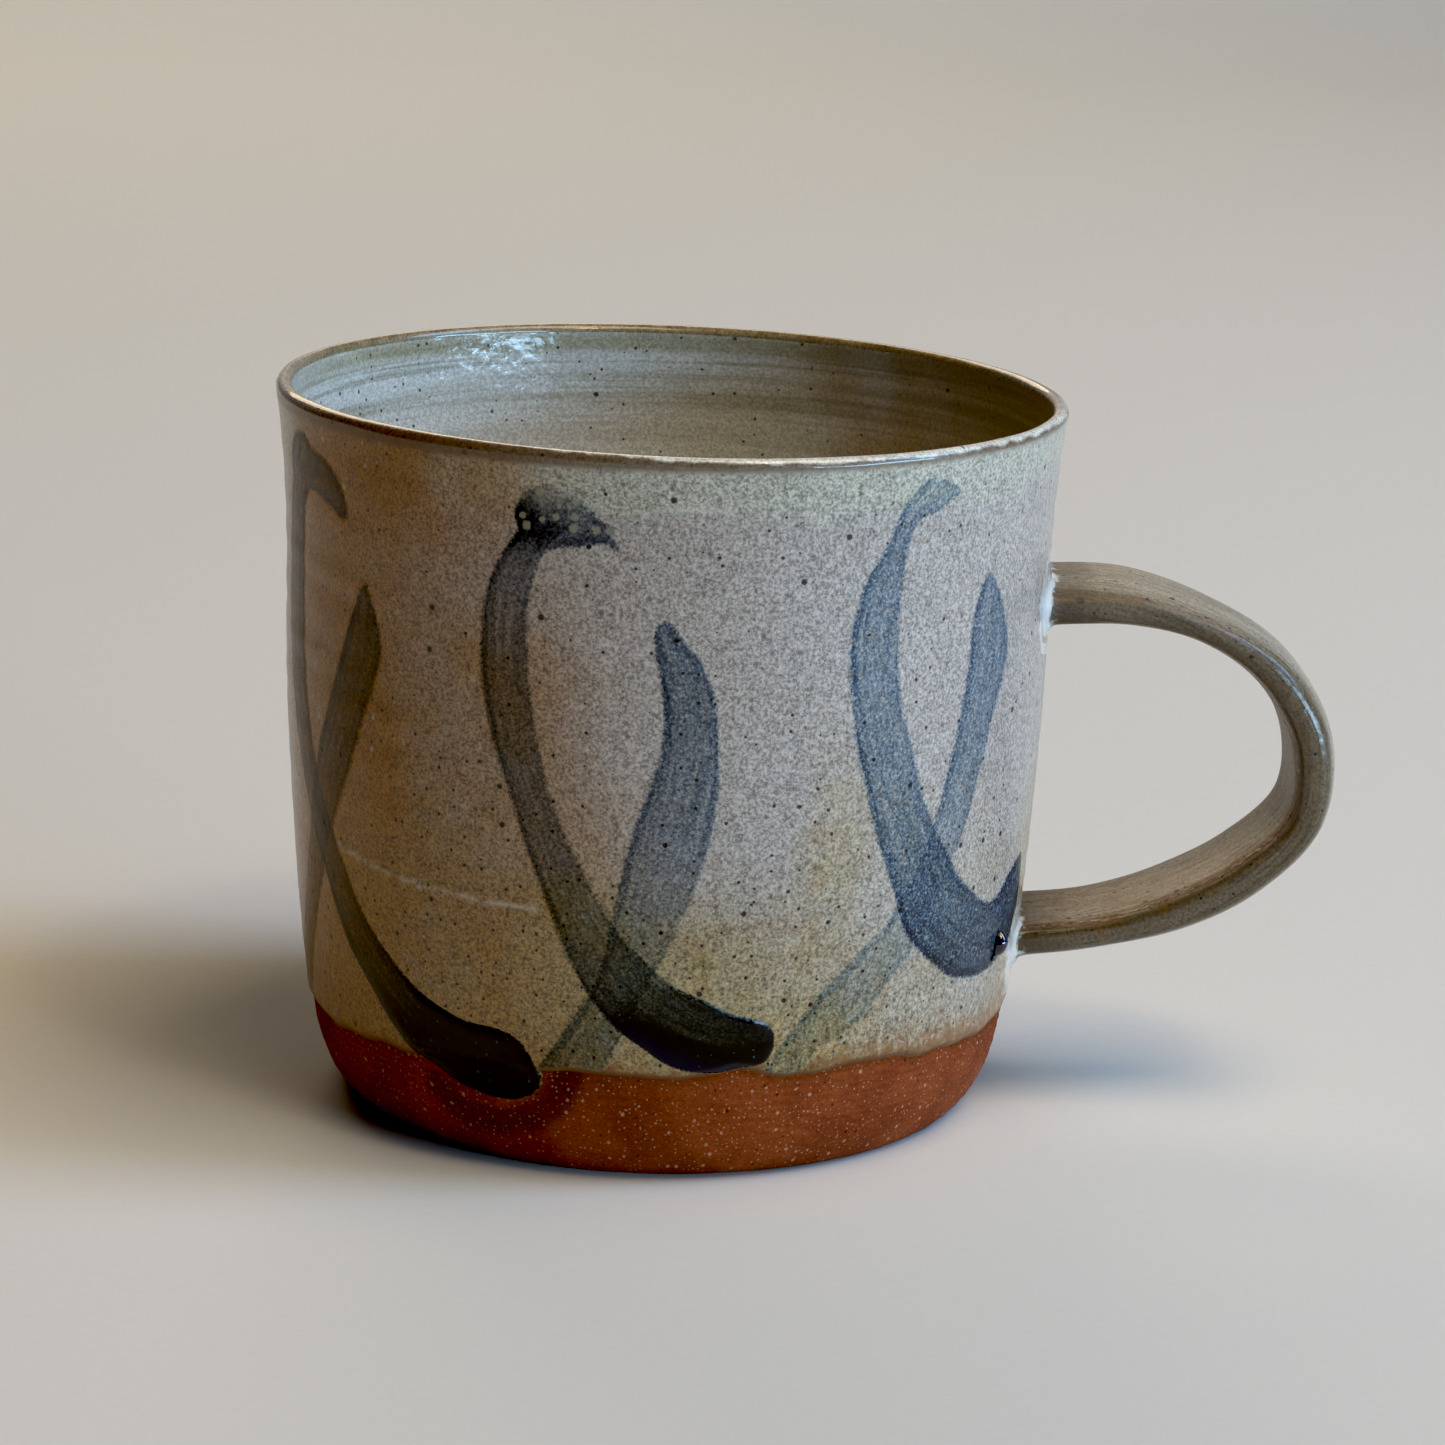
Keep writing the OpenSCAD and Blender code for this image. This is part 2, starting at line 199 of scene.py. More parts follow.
def coat(d):
    """Thickness of the outer glaze at a distance above its edge, thickest just inside it."""
    return GLAZE_T * np.sqrt(smooth(-0.05, 1.1, d)) + 0.13 * np.exp(-((d - 1.0) / 0.7) ** 2)


def skin_r(az, z):
    """Radius of the outer glaze."""
    return clay_r(z) + coat(z - edge_z(az)) * smooth(-0.3, 0.1, z - edge_z(az)) + wall_bump(az, z)


def place(az, z, r):
    """Point of the cup in space. Everything on the cup goes through here."""
    a = np.radians(az)
    x, y = r * np.sin(a), -r * np.cos(a)
    return np.stack([x, y, z + RIM_TILT * x * (z / HEIGHT) ** 2], -1)


# ---- making meshes -----------------------------------------------------------------

def make(name, points, faces, node, material, values=None):
    """A smooth mesh from points in millimetres, riding on the mug."""
    mesh = bpy.data.meshes.new(name)
    mesh.from_pydata((points * MM).tolist(), [], faces)
    for key, v in (values or {}).items():
        mesh.attributes.new(key, "FLOAT", "POINT").data.foreach_set(
            "value", np.ascontiguousarray(v, np.float32).ravel())
    mesh.shade_smooth()
    mesh.materials.append(material)
    obj = bpy.data.objects.new(name, mesh)
    bpy.context.collection.objects.link(obj)
    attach(obj, "root")
    if node:
        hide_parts(node)
    return obj


def grid_faces(rows, cols, wrap):
    i, k = np.meshgrid(np.arange(rows - 1), np.arange(cols if wrap else cols - 1), indexing="ij")
    n = (k + 1) % cols
    return np.stack([i * cols + k, i * cols + n, (i + 1) * cols + n, (i + 1) * cols + k],
                    -1).reshape(-1, 4)


def ring_mesh(name, points, node, material, values=None, ends=(False, False), flip=False):
    """Mesh over closed rings of points, each end left open or closed with a fan."""
    rows, cols = points.shape[:2]
    flat = points.reshape(-1, 3)
    faces = grid_faces(rows, cols, True).tolist()
    values = {k: np.broadcast_to(v, (rows, cols)).ravel() for k, v in (values or {}).items()}
    for end, row in ((ends[0], 0), (ends[1], rows - 1)):
        if end:
            hub = len(flat)
            flat = np.vstack([flat, points[row].mean(0)])
            values = {k: np.append(v, v[row * cols]) for k, v in values.items()}
            loop = [(row * cols + k, row * cols + (k + 1) % cols) for k in range(cols)]
            faces += [[hub, b, a] if row == 0 else [hub, a, b] for a, b in loop]
    if flip:
        faces = [f[::-1] for f in faces]
    return make(name, flat, faces, node, material, values)


# ---- building materials ------------------------------------------------------------

def srgb(r, g, b):
    """A colour named by its usual 0-255 values, as the linear values that Blender wants."""
    return tuple((c / 255 / 12.92 if c <= 10 else ((c / 255 + 0.055) / 1.055) ** 2.4)
                 for c in (r, g, b)) + (1,)


# Within this radius, or below this height, a surface lies flat rather than round the cup.
INNER_FLAT_R, UNDERSIDE_Z = 33.0, 0.25


class Look:
    """Shorthand for one material's nodes."""

    def __init__(self, name):
        self.material = bpy.data.materials.new(name)
        self.material.use_nodes = True
        self.tree = self.material.node_tree
        self.tree.nodes.clear()
        coords = self.put("TexCoord")
        self.place = self.put("VectorMath", {0: coords.outputs["Object"], 3: 1 / MM},
                              operation="SCALE").outputs[0]
        self.flat = self.unrolled()

    def put(self, kind, ins=None, **props):
        node = self.tree.nodes.new("ShaderNode" + kind)
        for key, v in props.items():
            setattr(node, key, v)
        for key, v in (ins or {}).items():
            if isinstance(v, bpy.types.NodeSocket):
                self.tree.links.new(v, node.inputs[key])
            else:
                node.inputs[key].default_value = v
        return node

    def math(self, op, a, b=0.0):
        return self.put("Math", {0: a, 1: b}, operation=op).outputs[0]

    def mul(self, a, b):
        return self.math("MULTIPLY", a, b)

    def add(self, a, b):
        return self.math("ADD", a, b)

    def ramp(self, v, low, high, to_low=0.0, to_high=1.0):
        """v carried smoothly from low..high to the other range."""
        return self.put("MapRange", {0: v, 1: low, 2: high, 3: to_low, 4: to_high},
                        interpolation_type="SMOOTHSTEP").outputs[0]

    def mix(self, share, a, b, blend="MIX"):
        node = self.put("Mix", data_type="RGBA", blend_type=blend)
        for socket, v in ((node.inputs[0], share), (node.inputs[6], a), (node.inputs[7], b)):
            if isinstance(v, bpy.types.NodeSocket):
                self.tree.links.new(v, socket)
            else:
                socket.default_value = v
        return node.outputs[2]

    def shaded(self, colour, shade):
        """A colour made lighter and darker by a number near 1."""
        grey = self.put("CombineColor", {0: shade, 1: shade, 2: shade}).outputs[0]
        return self.mix(1.0, colour, grey, "MULTIPLY")

    def xyz(self):
        """Where the point is on the mug, in millimetres."""
        return self.put("SeparateXYZ", {0: self.place}).outputs

    def unrolled(self):
        """Distance round the cup and height, in millimetres, or X and Y on the cup's floor and
        underside. The seam is behind the handle."""
        x, y, z = self.xyz()
        angle = self.math("ARCTAN2", y, self.mul(x, -1.0))
        across = self.pair(x, y)
        radius = self.put("VectorMath", {0: across}, operation="LENGTH").outputs["Value"]
        level = self.math("MAXIMUM", self.math("LESS_THAN", radius, INNER_FLAT_R),
                          self.math("LESS_THAN", z, UNDERSIDE_Z))
        return self.mix(level, self.pair(self.mul(angle, MEAN_R), z), across)

    def pair(self, a, b):
        return self.put("CombineXYZ", {0: a, 1: b, 2: 0.0}).outputs[0]

    def scaled(self, where, by):
        """Coordinates multiplied by a vector, so that a noise is drawn out along an axis."""
        return self.put("VectorMath", {0: where, 1: by}, operation="MULTIPLY").outputs[0]

    def noise(self, size, detail=2.0, roughness=0.5, where=None):
        """Noise from 0 to 1 with lumps of about this size in millimetres."""
        return self.put("TexNoise", {"Vector": where or self.place, "Scale": 1 / size,
                                     "Detail": detail, "Roughness": roughness}).outputs["Fac"]

    def jitter(self, v, noise, amount):
        """v moved up and down by a noise, to make an edge uneven."""
        return self.add(v, self.ramp(noise, 0.3, 0.7, -amount, amount))

    def value(self, name):
        """A number stored on the mesh's points."""
        return self.put("Attribute", attribute_name=name).outputs["Fac"]

    def specks(self, spacing, radius, share, soft=0.3):
        """1 inside scattered round specks on the surface: share of the cells hold one."""
        noise = self.put("TexNoise", {"Vector": self.place, "Scale": 1.6 / radius, "Detail": 1.0})
        push = self.put("VectorMath", {0: noise.outputs["Color"], 3: 0.7 * radius},
                        operation="SCALE")
        ragged = self.put("VectorMath", {0: self.flat, 1: push.outputs[0]})
        cell = self.put("TexVoronoi", {"Vector": ragged.outputs[0], "Scale": 1 / spacing,
                                       "Randomness": 1.0}, voronoi_dimensions="2D")
        pick = self.put("SeparateColor", {0: cell.outputs["Color"]})
        size = self.mul(self.ramp(pick.outputs[1], 0, 1, 0.45, 1), radius / spacing)
        near = self.math("DIVIDE", cell.outputs["Distance"], size)
        spot = self.ramp(near, 1 - soft, 1 + soft, 1, 0)
        return self.mul(spot, self.math("LESS_THAN", pick.outputs[0], share))

    def bump(self, height, distance, normal=None):
        ins = {"Height": height, "Distance": distance * MM, "Strength": 1.0}
        if normal:
            ins["Normal"] = normal
        return self.put("Bump", ins).outputs[0]

    def finish(self, colour, roughness, normal=None, coat=0.0, coat_roughness=0.1, specular=0.5):
        ins = {"Base Color": colour, "Roughness": roughness, "Coat Weight": coat,
               "Coat Roughness": coat_roughness, "Specular IOR Level": specular}
        if normal:
            ins["Normal"] = normal
        bsdf = self.put("BsdfPrincipled", ins)
        out = self.put("OutputMaterial")
        self.tree.links.new(bsdf.outputs[0], out.inputs[0])
        return self.material


# ---- glazes and clay ---------------------------------------------------------------

LILAC, OLIVE, RIM_GREEN = srgb(175, 162, 152), srgb(165, 143, 104), srgb(186, 180, 160)
OCHRE, EDGE_BROWN, IRON = srgb(154, 103, 28), srgb(134, 86, 42), srgb(22, 15, 10)
RUST, CREAM = srgb(92, 66, 38), srgb(200, 192, 172)
GREY_WASH, BLUE_WASH = (0.245, 0.27, 0.33), (0.29, 0.43, 0.60)
BLACK, NAVY = srgb(5, 6, 8), srgb(7, 11, 34)
PALE = srgb(218, 218, 214)
LIP_BROWN, UNDER_BROWN, LAP_CREAM = srgb(96, 68, 38), srgb(94, 56, 26), srgb(216, 208, 190)


def glaze(look):
    """Colour and surface grain of the outer glaze: lilac-grey, olive lower down, ochre at its edge,
    with a fine grain and scattered iron specks.
    Away from the handle it turns ochre, partly a warmer glaze and partly painted warm light, and
    where x is below about -40 mm the ochre thins out again as a painted paler reflection."""
    x, _, z = look.xyz()
    drift = look.jitter(look.add(z, look.ramp(x, 6, 34, 0, 15)), look.noise(26, 2), 12)
    colour = look.mix(look.ramp(drift, 26, 54), OLIVE, LILAC)
    top = look.jitter(z, look.noise(5, 2), 1)
    colour = look.mix(look.ramp(top, 74.5, 77.5, 0, 0.75), colour, RIM_GREEN)
    # painted warm light: ochre on the side away from the handle, partly the glaze's own warmer tone
    # and partly the warm light that falls there; thinned out where x is below about -40 mm as a
    # painted paler reflection
    ochre_tone_and_painted_warm_light = look.mul(look.ramp(look.jitter(x, look.noise(18, 2), 7), -36, 0, 0.96, 0),
                    look.ramp(x, -43.8, -39.5, 0, 1))
    colour = look.mix(ochre_tone_and_painted_warm_light, colour, OCHRE)
    mottle = look.noise(3.2, 4, 0.7)
    low = look.ramp(drift, 28, 58, 1, 0)
    colour = look.mix(look.mul(look.ramp(mottle, 0.5, 0.68, 0, 0.35), low), colour, OCHRE)
    colour = look.mix(look.ramp(mottle, 0.44, 0.32, 0, 0.25), colour, LILAC)
    colour = look.mix(look.ramp(z, GLAZE_Z, 20, 0.25, 0), colour, OCHRE)
    grain = look.noise(0.36, 3, 0.8)
    coarse = look.noise(1.1, 3, 0.7)
    shade = look.jitter(look.ramp(grain, 0.36, 0.64, 0.50, 1.36), coarse, 0.15)
    pits = look.noise(0.7, 3, 0.7, look.scaled(look.flat, (1.0, 0.35, 1.0)))
    pitted = look.mul(look.ramp(z, 27, 14), look.ramp(x, -12, 20))
    shade = look.add(shade, look.mul(pitted, look.ramp(pits, 0.32, 0.68, -0.34, 0.28)))
    colour = look.shaded(colour, shade)
    brown = look.specks(1.0, 0.24, look.add(look.mul(low, 0.34), 0.05), 0.6)
    small = look.specks(1.7, 0.21, look.add(look.mul(low, 0.24), 0.10))
    large = look.specks(4.6, 0.34, look.add(look.mul(low, 0.25), 0.20))
    pale = look.specks(3.6, 0.34, look.ramp(z, 72, 77, 0.14, 0.5))
    colour = look.mix(look.mul(pale, 0.4), colour, CREAM)
    colour = look.mix(look.mul(brown, 0.65), colour, RUST)
    colour = look.mix(look.mul(look.math("MAXIMUM", small, large), 0.95), colour, IRON)
    return colour, grain, large


def wash(look, colour, key):
    """One brush stroke over a colour. Its attributes start with this key."""
    inside, across = look.value(key + "_inside"), look.value(key + "_across")
    along, strength = look.value(key + "_along"), look.value(key + "_strength")
    run, blue = look.value(key + "_run"), look.value(key + "_blue")
    fine = look.noise(0.34, 3, 0.85)
    ragged = look.jitter(inside, fine, -0.14)
    cover = look.ramp(ragged, -0.22, 0.3)
    streak = look.noise(0.62, 2, 0.6, look.pair(across, look.mul(along, 0.05)))
    rim = look.ramp(inside, 0.15, 1.35, 1, 0)
    lower = look.ramp(across, -0.5, 2.6)
    depth = look.mul(strength, look.add(0.74, look.mul(rim, look.add(0.30, look.mul(lower, 0.50)))))
    speckle = look.mul(look.ramp(fine, 0.34, 0.66, 1, -1), look.add(look.mul(blue, 0.5), 0.32))
    depth = look.mul(depth, look.add(speckle, 1.0))
    depth = look.mul(look.mul(depth, look.ramp(streak, 0.3, 0.7, 0.66, 1.3)), cover)
    tint = look.put("CombineColor", {
        i: look.math("POWER", look.add(look.mul(blue, b - g), g), depth)
        for i, (g, b) in enumerate(zip(GREY_WASH, BLUE_WASH))}).outputs[0]
    colour = look.mix(1.0, colour, tint, "MULTIPLY")
    gathered = look.add(run, look.mul(look.mul(run, lower), 0.8))
    thick = look.mul(look.ramp(gathered, 0.35, 1.2), cover)
    pool = look.mix(look.ramp(look.jitter(across, fine, 0.4), 1.5, 3.4), BLACK, NAVY)
    return look.mix(look.mul(thick, 0.97), colour, pool), thick


def glaze_surface(look, grain, large, smoother=0.0):
    """Normal and roughness of the outer glaze; smoother lies from 0 to 1."""
    keep = look.ramp(smoother, 0, 1, 1, 0.3) if smoother else 1.0
    normal = look.bump(look.mul(grain, keep), 0.022)
    normal = look.bump(large, -0.06, normal)
    normal = look.bump(look.noise(2.0, 2), 0.09, normal)
    return look.mul(look.ramp(grain, 0.3, 0.7, 0.28, 0.46), keep), normal


def outer_glaze_material():
    look = Look("outer_glaze")
    colour, grain, large = glaze(look)
    x, _, z = look.xyz()
    above = look.value("above_edge")
    d = look.math("DIVIDE", above, look.ramp(x, 8, 34, 1, 2.4))
    rim = look.ramp(look.jitter(d, look.noise(1.1, 2), 0.5), 0.1, 1.7, 1, 0)
    colour = look.mix(look.mul(rim, 0.85), colour, EDGE_BROWN)
    colour = look.mix(look.ramp(above, 0.1, 0.8, 0.8, 0), colour, UNDER_BROWN)
    broken = look.ramp(look.noise(2.2, 3, 0.7), 0.38, 0.6, 0.12, 0.6)
    colour = look.mix(look.mul(look.value("lap"), broken), colour, LAP_CREAM)
    burnt = look.ramp(look.jitter(z, grain, 0.25), 80.1, 80.9)
    colour = look.mix(look.mul(burnt, 0.75), colour, LIP_BROWN)
    rough, normal = glaze_surface(look, grain, large)
    rough = look.add(rough, look.ramp(above, 0.5, 1.5, 0.45, 0))
    return look.finish(colour, rough, normal, 0.4, 0.16, 0.4)


def brush_material():
    look = Look("cobalt_wash")
    colour, grain, large = glaze(look)
    colour, thick_a = wash(look, colour, "a")
    colour, thick_b = wash(look, colour, "b")
    thick = look.math("MAXIMUM", thick_a, thick_b)
    fleck = look.mul(look.specks(1.3, 0.13, 0.3), look.ramp(thick, 0.1, 0.9, 0.0, 0.3))
    colour = look.mix(fleck, colour, srgb(120, 124, 130))
    holes = look.mul(look.specks(1.9, 0.5, 0.75, 0.3), look.value("holes"))
    colour = look.mix(look.mul(holes, 0.7), colour, srgb(158, 154, 128))
    rough, normal = glaze_surface(look, grain, large, thick)
    return look.finish(colour, rough, normal, 0.12, 0.06, 0.28)


def liner_material():
    look = Look("liner_glaze")
    x, _, z = look.xyz()
    bands = look.noise(1.0, 4, 0.6, look.scaled(look.place, (0.012, 0.012, 0.55)))
    colour = look.mix(look.ramp(bands, 0.36, 0.60), srgb(158, 156, 140), srgb(194, 195, 191))
    thin = look.noise(1, 3, 0.6, look.scaled(look.place, (0.02, 0.02, 1.0)))
    colour = look.mix(look.ramp(thin, 0.52, 0.66, 0, 0.5), colour, srgb(110, 106, 84))
    colour = look.mix(look.ramp(z, 77, 81, 0, 0.5), colour, srgb(142, 130, 100))
    colour = look.mix(look.ramp(z, 77, 68, 0, 0.55), colour, srgb(234, 234, 226))
    # painted shade: the inside wall towards the handle, where x is above about 7 mm, darkened to a
    # warm brown where it lies in shade
    side = look.jitter(x, look.noise(14, 2), 6)
    colour = look.mix(look.ramp(side, 7, 34), colour, (0.64, 0.43, 0.19, 1), "MULTIPLY")
    grain = look.noise(0.38, 3, 0.8)
    colour = look.shaded(colour, look.ramp(grain, 0.34, 0.66, 0.72, 1.24))
    specks = look.math("MAXIMUM", look.specks(1.4, 0.2, 0.10), look.specks(4.4, 0.34, 0.25))
    colour = look.mix(look.mul(specks, 0.85), colour, IRON)
    normal = look.bump(look.noise(1.0, 3), 0.035)
    normal = look.bump(look.noise(3.6, 2), 0.16, normal)
    normal = look.bump(grain, 0.006, normal)
    rough = look.add(look.ramp(grain, 0.3, 0.7, 0.07, 0.15), look.ramp(x, -14, 10, 0, 0.34))
    return look.finish(colour, rough, normal, 0.2, 0.04, 0.6)


def lip_material():
    look = Look("lip_glaze")
    turn = look.value("turn")       # 0 on the outside of the lip, 1 on the inside
    x, y, _ = look.xyz()
    wander = look.jitter(turn, look.noise(2.4, 3, 0.6), 0.07)
    # painted shade: the outer brown band runs wider on the side away from the handle
    outer = look.ramp(look.add(wander, look.ramp(x, -20, 10, -0.16, 0.06)), 0.16, 0.36, 1, 0)
    inner = look.ramp(wander, 0.66, 0.86)
    pale = look.mix(look.ramp(look.noise(3.1, 3), 0.35, 0.65),
                    srgb(214, 207, 192), srgb(236, 231, 218))
    brown = look.mix(look.ramp(look.noise(2.3, 3), 0.35, 0.65),
                     srgb(118, 94, 62), srgb(156, 132, 98))
    # painted light and shade: the crest is pale at the front and towards the handle, where the
    # light falls, and brown on the side away from the handle and at the back, in shade
    colour = look.mix(look.mul(look.ramp(x, -33, -12), look.ramp(y, 14, -14)), brown, pale)
    colour = look.mix(look.mul(inner, 0.7), colour, srgb(128, 114, 84))
    colour = look.mix(look.mul(outer, 0.9), colour, LIP_BROWN)
    grain = look.noise(0.38, 3, 0.8)
    colour = look.shaded(colour, look.ramp(grain, 0.3, 0.7, 0.68, 1.24))
    colour = look.mix(look.mul(look.specks(1.3, 0.2, 0.14), 0.8), colour, IRON)
    normal = look.bump(grain, 0.07)
    normal = look.bump(look.noise(1.2, 2), 0.08, normal)
    return look.finish(colour, look.ramp(grain, 0.3, 0.7, 0.18, 0.42), normal, 0.8, 0.07)


def handle_material():
    look = Look("handle_glaze")
    along, around, face = look.value("along"), look.value("around"), look.value("face")
    look.flat = look.pair(along, around)
    fibres = look.pair(look.mul(along, 0.06), around)
    streak = look.noise(0.5, 3, 0.65, fibres)
    broad = look.noise(2.2, 3, 0.6, fibres)
    patch = look.noise(3.5, 3, 0.6)
    colour = look.mix(look.ramp(broad, 0.35, 0.65), srgb(108, 91, 68), srgb(155, 139, 118))
    side = look.mul(look.ramp(face, -0.75, -0.35), look.ramp(face, 0.3, 0.85, 1, 0))
    colour = look.mix(look.mul(side, 0.65), colour, srgb(80, 63, 40))
    colour = look.mix(look.ramp(face, 0.4, 0.95, 0, 0.5), colour, srgb(186, 176, 158))
    colour = look.mix(look.ramp(face, -0.4, -0.9, 0, 0.7), colour, srgb(170, 157, 142))
    lower = look.mul(look.ramp(along, 55, 75), look.ramp(face, 0.1, -0.5))
    colour = look.mix(look.ramp(look.add(patch, look.mul(lower, 0.14)), 0.6, 0.76, 0, 0.35), colour,
                      srgb(124, 84, 38))
    colour = look.mix(look.ramp(streak, 0.5, 0.66, 0, 0.48), colour, srgb(62, 48, 28))
    crease = look.mul(look.value("crease"), look.ramp(along, 16, 36))
    colour = look.mix(look.mul(crease, 0.7), colour, srgb(104, 68, 26))
    grain = look.noise(0.38, 3, 0.8)
    colour = look.shaded(colour, look.ramp(grain, 0.34, 0.66, 0.66, 1.3))
    specks = look.math("MAXIMUM", look.specks(1.2, 0.2, 0.16), look.specks(3.4, 0.36, 0.28))
    colour = look.mix(look.mul(specks, 0.85), colour, IRON)
    root = look.jitter(look.value("root"), look.noise(1.6, 3), 1.0)
    burnt = look.mul(look.ramp(root, 0.8, 2.0), look.ramp(root, 2.6, 7.5, 1, 0))
    colour = look.mix(look.mul(burnt, 0.55), colour, srgb(58, 42, 24))
    colour = look.mix(look.ramp(root, 0.2, 1.6, 0.85, 0), colour, PALE)
    normal = look.bump(streak, 0.09)
    normal = look.bump(look.noise(1.3, 3), 0.08, normal)
    normal = look.bump(look.mul(look.noise(0.9, 2), look.ramp(crease, 0.05, 0.6)), 0.14, normal)
    normal = look.bump(grain, 0.03, normal)
    # drier on the inner face and towards the upper root, glossy round the bend
    dry = look.math("MAXIMUM", look.ramp(face, -0.2, -0.8), look.ramp(along, 12, 30, 1, 0))
    dry = look.mul(dry, look.ramp(look.value("crease"), 0.7, 0.97, 1, 0.1))
    rough = look.add(look.ramp(streak, 0.3, 0.7, 0.12, 0.2), look.mul(dry, 0.36))
    return look.finish(colour, rough, normal, specular=0.6)


def pool_material():
    look = Look("glaze_pool")
    colour, grain, _ = glaze(look)
    thick = look.add(look.value("thick"), look.ramp(look.noise(1.5, 3, 0.6), 0.3, 0.7, -0.35, 0.3))
    colour = look.mix(look.ramp(thick, 0.1, 0.8, 0, 0.8), colour, PALE)
    normal = look.bump(look.mul(grain, 0.5), 0.03)
    normal = look.bump(look.noise(1.5, 3), 0.12, normal)
    return look.finish(colour, 0.16, normal, 0.8, 0.06)


def clay_material():
    look = Look("bare_clay")
    colour = look.mix(look.ramp(look.noise(7, 3), 0.35, 0.65), srgb(121, 57, 31), srgb(142, 71, 40))
    lines = look.noise(1.0, 3, 0.6, look.scaled(look.place, (0.06, 0.06, 1.5)))
    colour = look.mix(look.ramp(lines, 0.5, 0.75, 0, 0.2), colour, srgb(92, 44, 20))
    flash = look.value("under_edge")
    colour = look.mix(look.ramp(flash, 0.1, 1.3, 0.5, 0), colour, srgb(112, 56, 16))
    stain = look.mul(look.value("stain"), look.ramp(look.noise(1.4, 3, 0.7), 0.3, 0.7, 0.75, 1))
    colour = look.mix(look.mul(stain, 0.6), colour, srgb(40, 27, 20))
    grit = look.noise(0.32, 3, 0.8)
    colour = look.shaded(colour, look.ramp(grit, 0.3, 0.7, 0.68, 1.32))
    cream = look.math("MAXIMUM", look.specks(0.62, 0.12, 0.36), look.specks(1.7, 0.23, 0.4))
    colour = look.mix(look.mul(cream, 0.6), colour, srgb(204, 156, 122))
    dark = look.specks(1.5, 0.2, 0.16)
    colour = look.mix(look.mul(dark, 0.7), colour, srgb(40, 22, 12))
    normal = look.bump(grit, 0.05)
    normal = look.bump(cream, 0.04, normal)
    normal = look.bump(lines, 0.05, normal)
    return look.finish(colour, look.ramp(grit, 0.3, 0.7, 0.74, 0.92), normal, specular=0.2)


def bead_material():
    look = Look("cobalt_bead")
    colour = look.mix(look.ramp(look.noise(0.8, 2), 0.35, 0.65), srgb(8, 9, 24), srgb(16, 20, 52))
    return look.finish(colour, 0.06, look.bump(look.noise(1.0, 2), 0.01), 1.0, 0.03)


CLAY, GLAZE, LINER, LIP = clay_material(), outer_glaze_material(), liner_material(), lip_material()
HANDLE, POOL, BRUSH, BEAD = handle_material(), pool_material(), brush_material(), bead_material()

# ---- the cup -----------------------------------------------------------------------

COLUMNS = 600
turn = np.linspace(-180, 180, COLUMNS, endpoint=False)


def between(low, high, step):
    return np.linspace(low, high, max(int(round((high - low) / step)), 1) + 1)


def outline_distance(az, z, line):
    """Distance in mm along the wall from points to a line of azimuths and heights, and how
    far along the line its nearest point is."""
    p = np.stack([az * TO_MM, z], -1)
    q = np.array(line, float) * (TO_MM, 1)
    best, run_at = np.full(az.shape, 1e9), np.zeros(az.shape)
    run = 0.0
    for a, b in zip(q[:-1], q[1:]):
        ab = b - a
        length = math.hypot(*ab)
        if length < 1e-9:
            continue
        t = np.clip(((p - a) @ ab) / length ** 2, 0, 1)
        d = np.hypot(*np.moveaxis(p - a - t[..., None] * ab, -1, 0))
        near = d < best
        best, run_at = np.where(near, d, best), np.where(near, run + t * length, run_at)
        run += length
    return best, run_at


def spline(points, per=8):
    """Catmull-Rom curve through points."""
    p = np.array(points, float)
    p = np.vstack([2 * p[0] - p[1], p, 2 * p[-1] - p[-2]])
    t = np.linspace(0, 1, per, endpoint=False)[:, None]
    parts = [0.5 * (2 * b + (c - a) * t + (2 * a - 5 * b + 4 * c - d) * t ** 2
                    + (3 * b - a - 3 * c + d) * t ** 3)
             for a, b, c, d in zip(p[:-3], p[1:-2], p[2:-1], p[3:])]
    return np.vstack(parts + [p[-2:-1]])


STAIN = [(-37, 8.6), (-34, 6.6), (-29, 5.4), (-24, 5.6), (-19, 7.0), (-15, 9.4), (-13.5, 12.2)]
TRIM, TRIM_PITCH = 0.045, 0.95
FOOT_ROUND, FOOT_ROUND_H = 0.35, 0.42


def plain_clay(shape):
    """The clay's values away from the glaze line: no stain, and far below the edge."""
    return {"stain": np.zeros(shape), "under_edge": np.full(shape, 9.0)}


def clay_cup():
    z = np.concatenate([[0, 0.06, 0.2, FOOT_ROUND_H], between(0.7, 15, 0.22),
                        between(17, LIP_Z - 0.4, 4)])
    az, zz = np.meshgrid(turn, z)
    r = clay_r(zz) + wall_bump(az, zz) * smooth(0, 5, zz)
    from_top = 1 - np.clip(zz / FOOT_ROUND_H, 0, 1)
    r = r - FOOT_ROUND * (1 - np.sqrt(np.clip(1 - from_top ** 2, 0, 1)))
    trimming = np.sin(2 * np.pi * zz / TRIM_PITCH + waves(31, 3, (1, 3), (20, 30), az, zz))
    r = r + TRIM * trimming * smooth(0.6, 2, zz)
    r = r + 0.03 * waves(33, 10, (20, 90), (0.8, 2.5), az, zz)
    cup = place(az, zz, r)
    # the underside, from its rim to the middle, with faint rings from the wire and the rib
    baz, br = np.meshgrid(turn, between(1, 34.6, 1.1)[::-1])
    bz = 0.10 + 0.06 * np.sin(2 * np.pi * br / 3.1) + 0.15 * smooth(34, 20, br)
    bz = np.where(br > 34, 0.02, bz)
    base = place(baz, bz, br)
    points = np.vstack([base[::-1], cup])
    stain, _ = outline_distance(az, zz, STAIN)
    under = edge_z(az) - zz
    shade = smooth(2.5, 0.9, stain) * smooth(-0.4, 0.5, under)
    below = plain_clay(baz.shape)
    ring_mesh("clay_cup", points, "thrown_body", CLAY,
              {"stain": np.vstack([below["stain"], shade]),
               "under_edge": np.vstack([below["under_edge"], under])}, ends=(True, False))


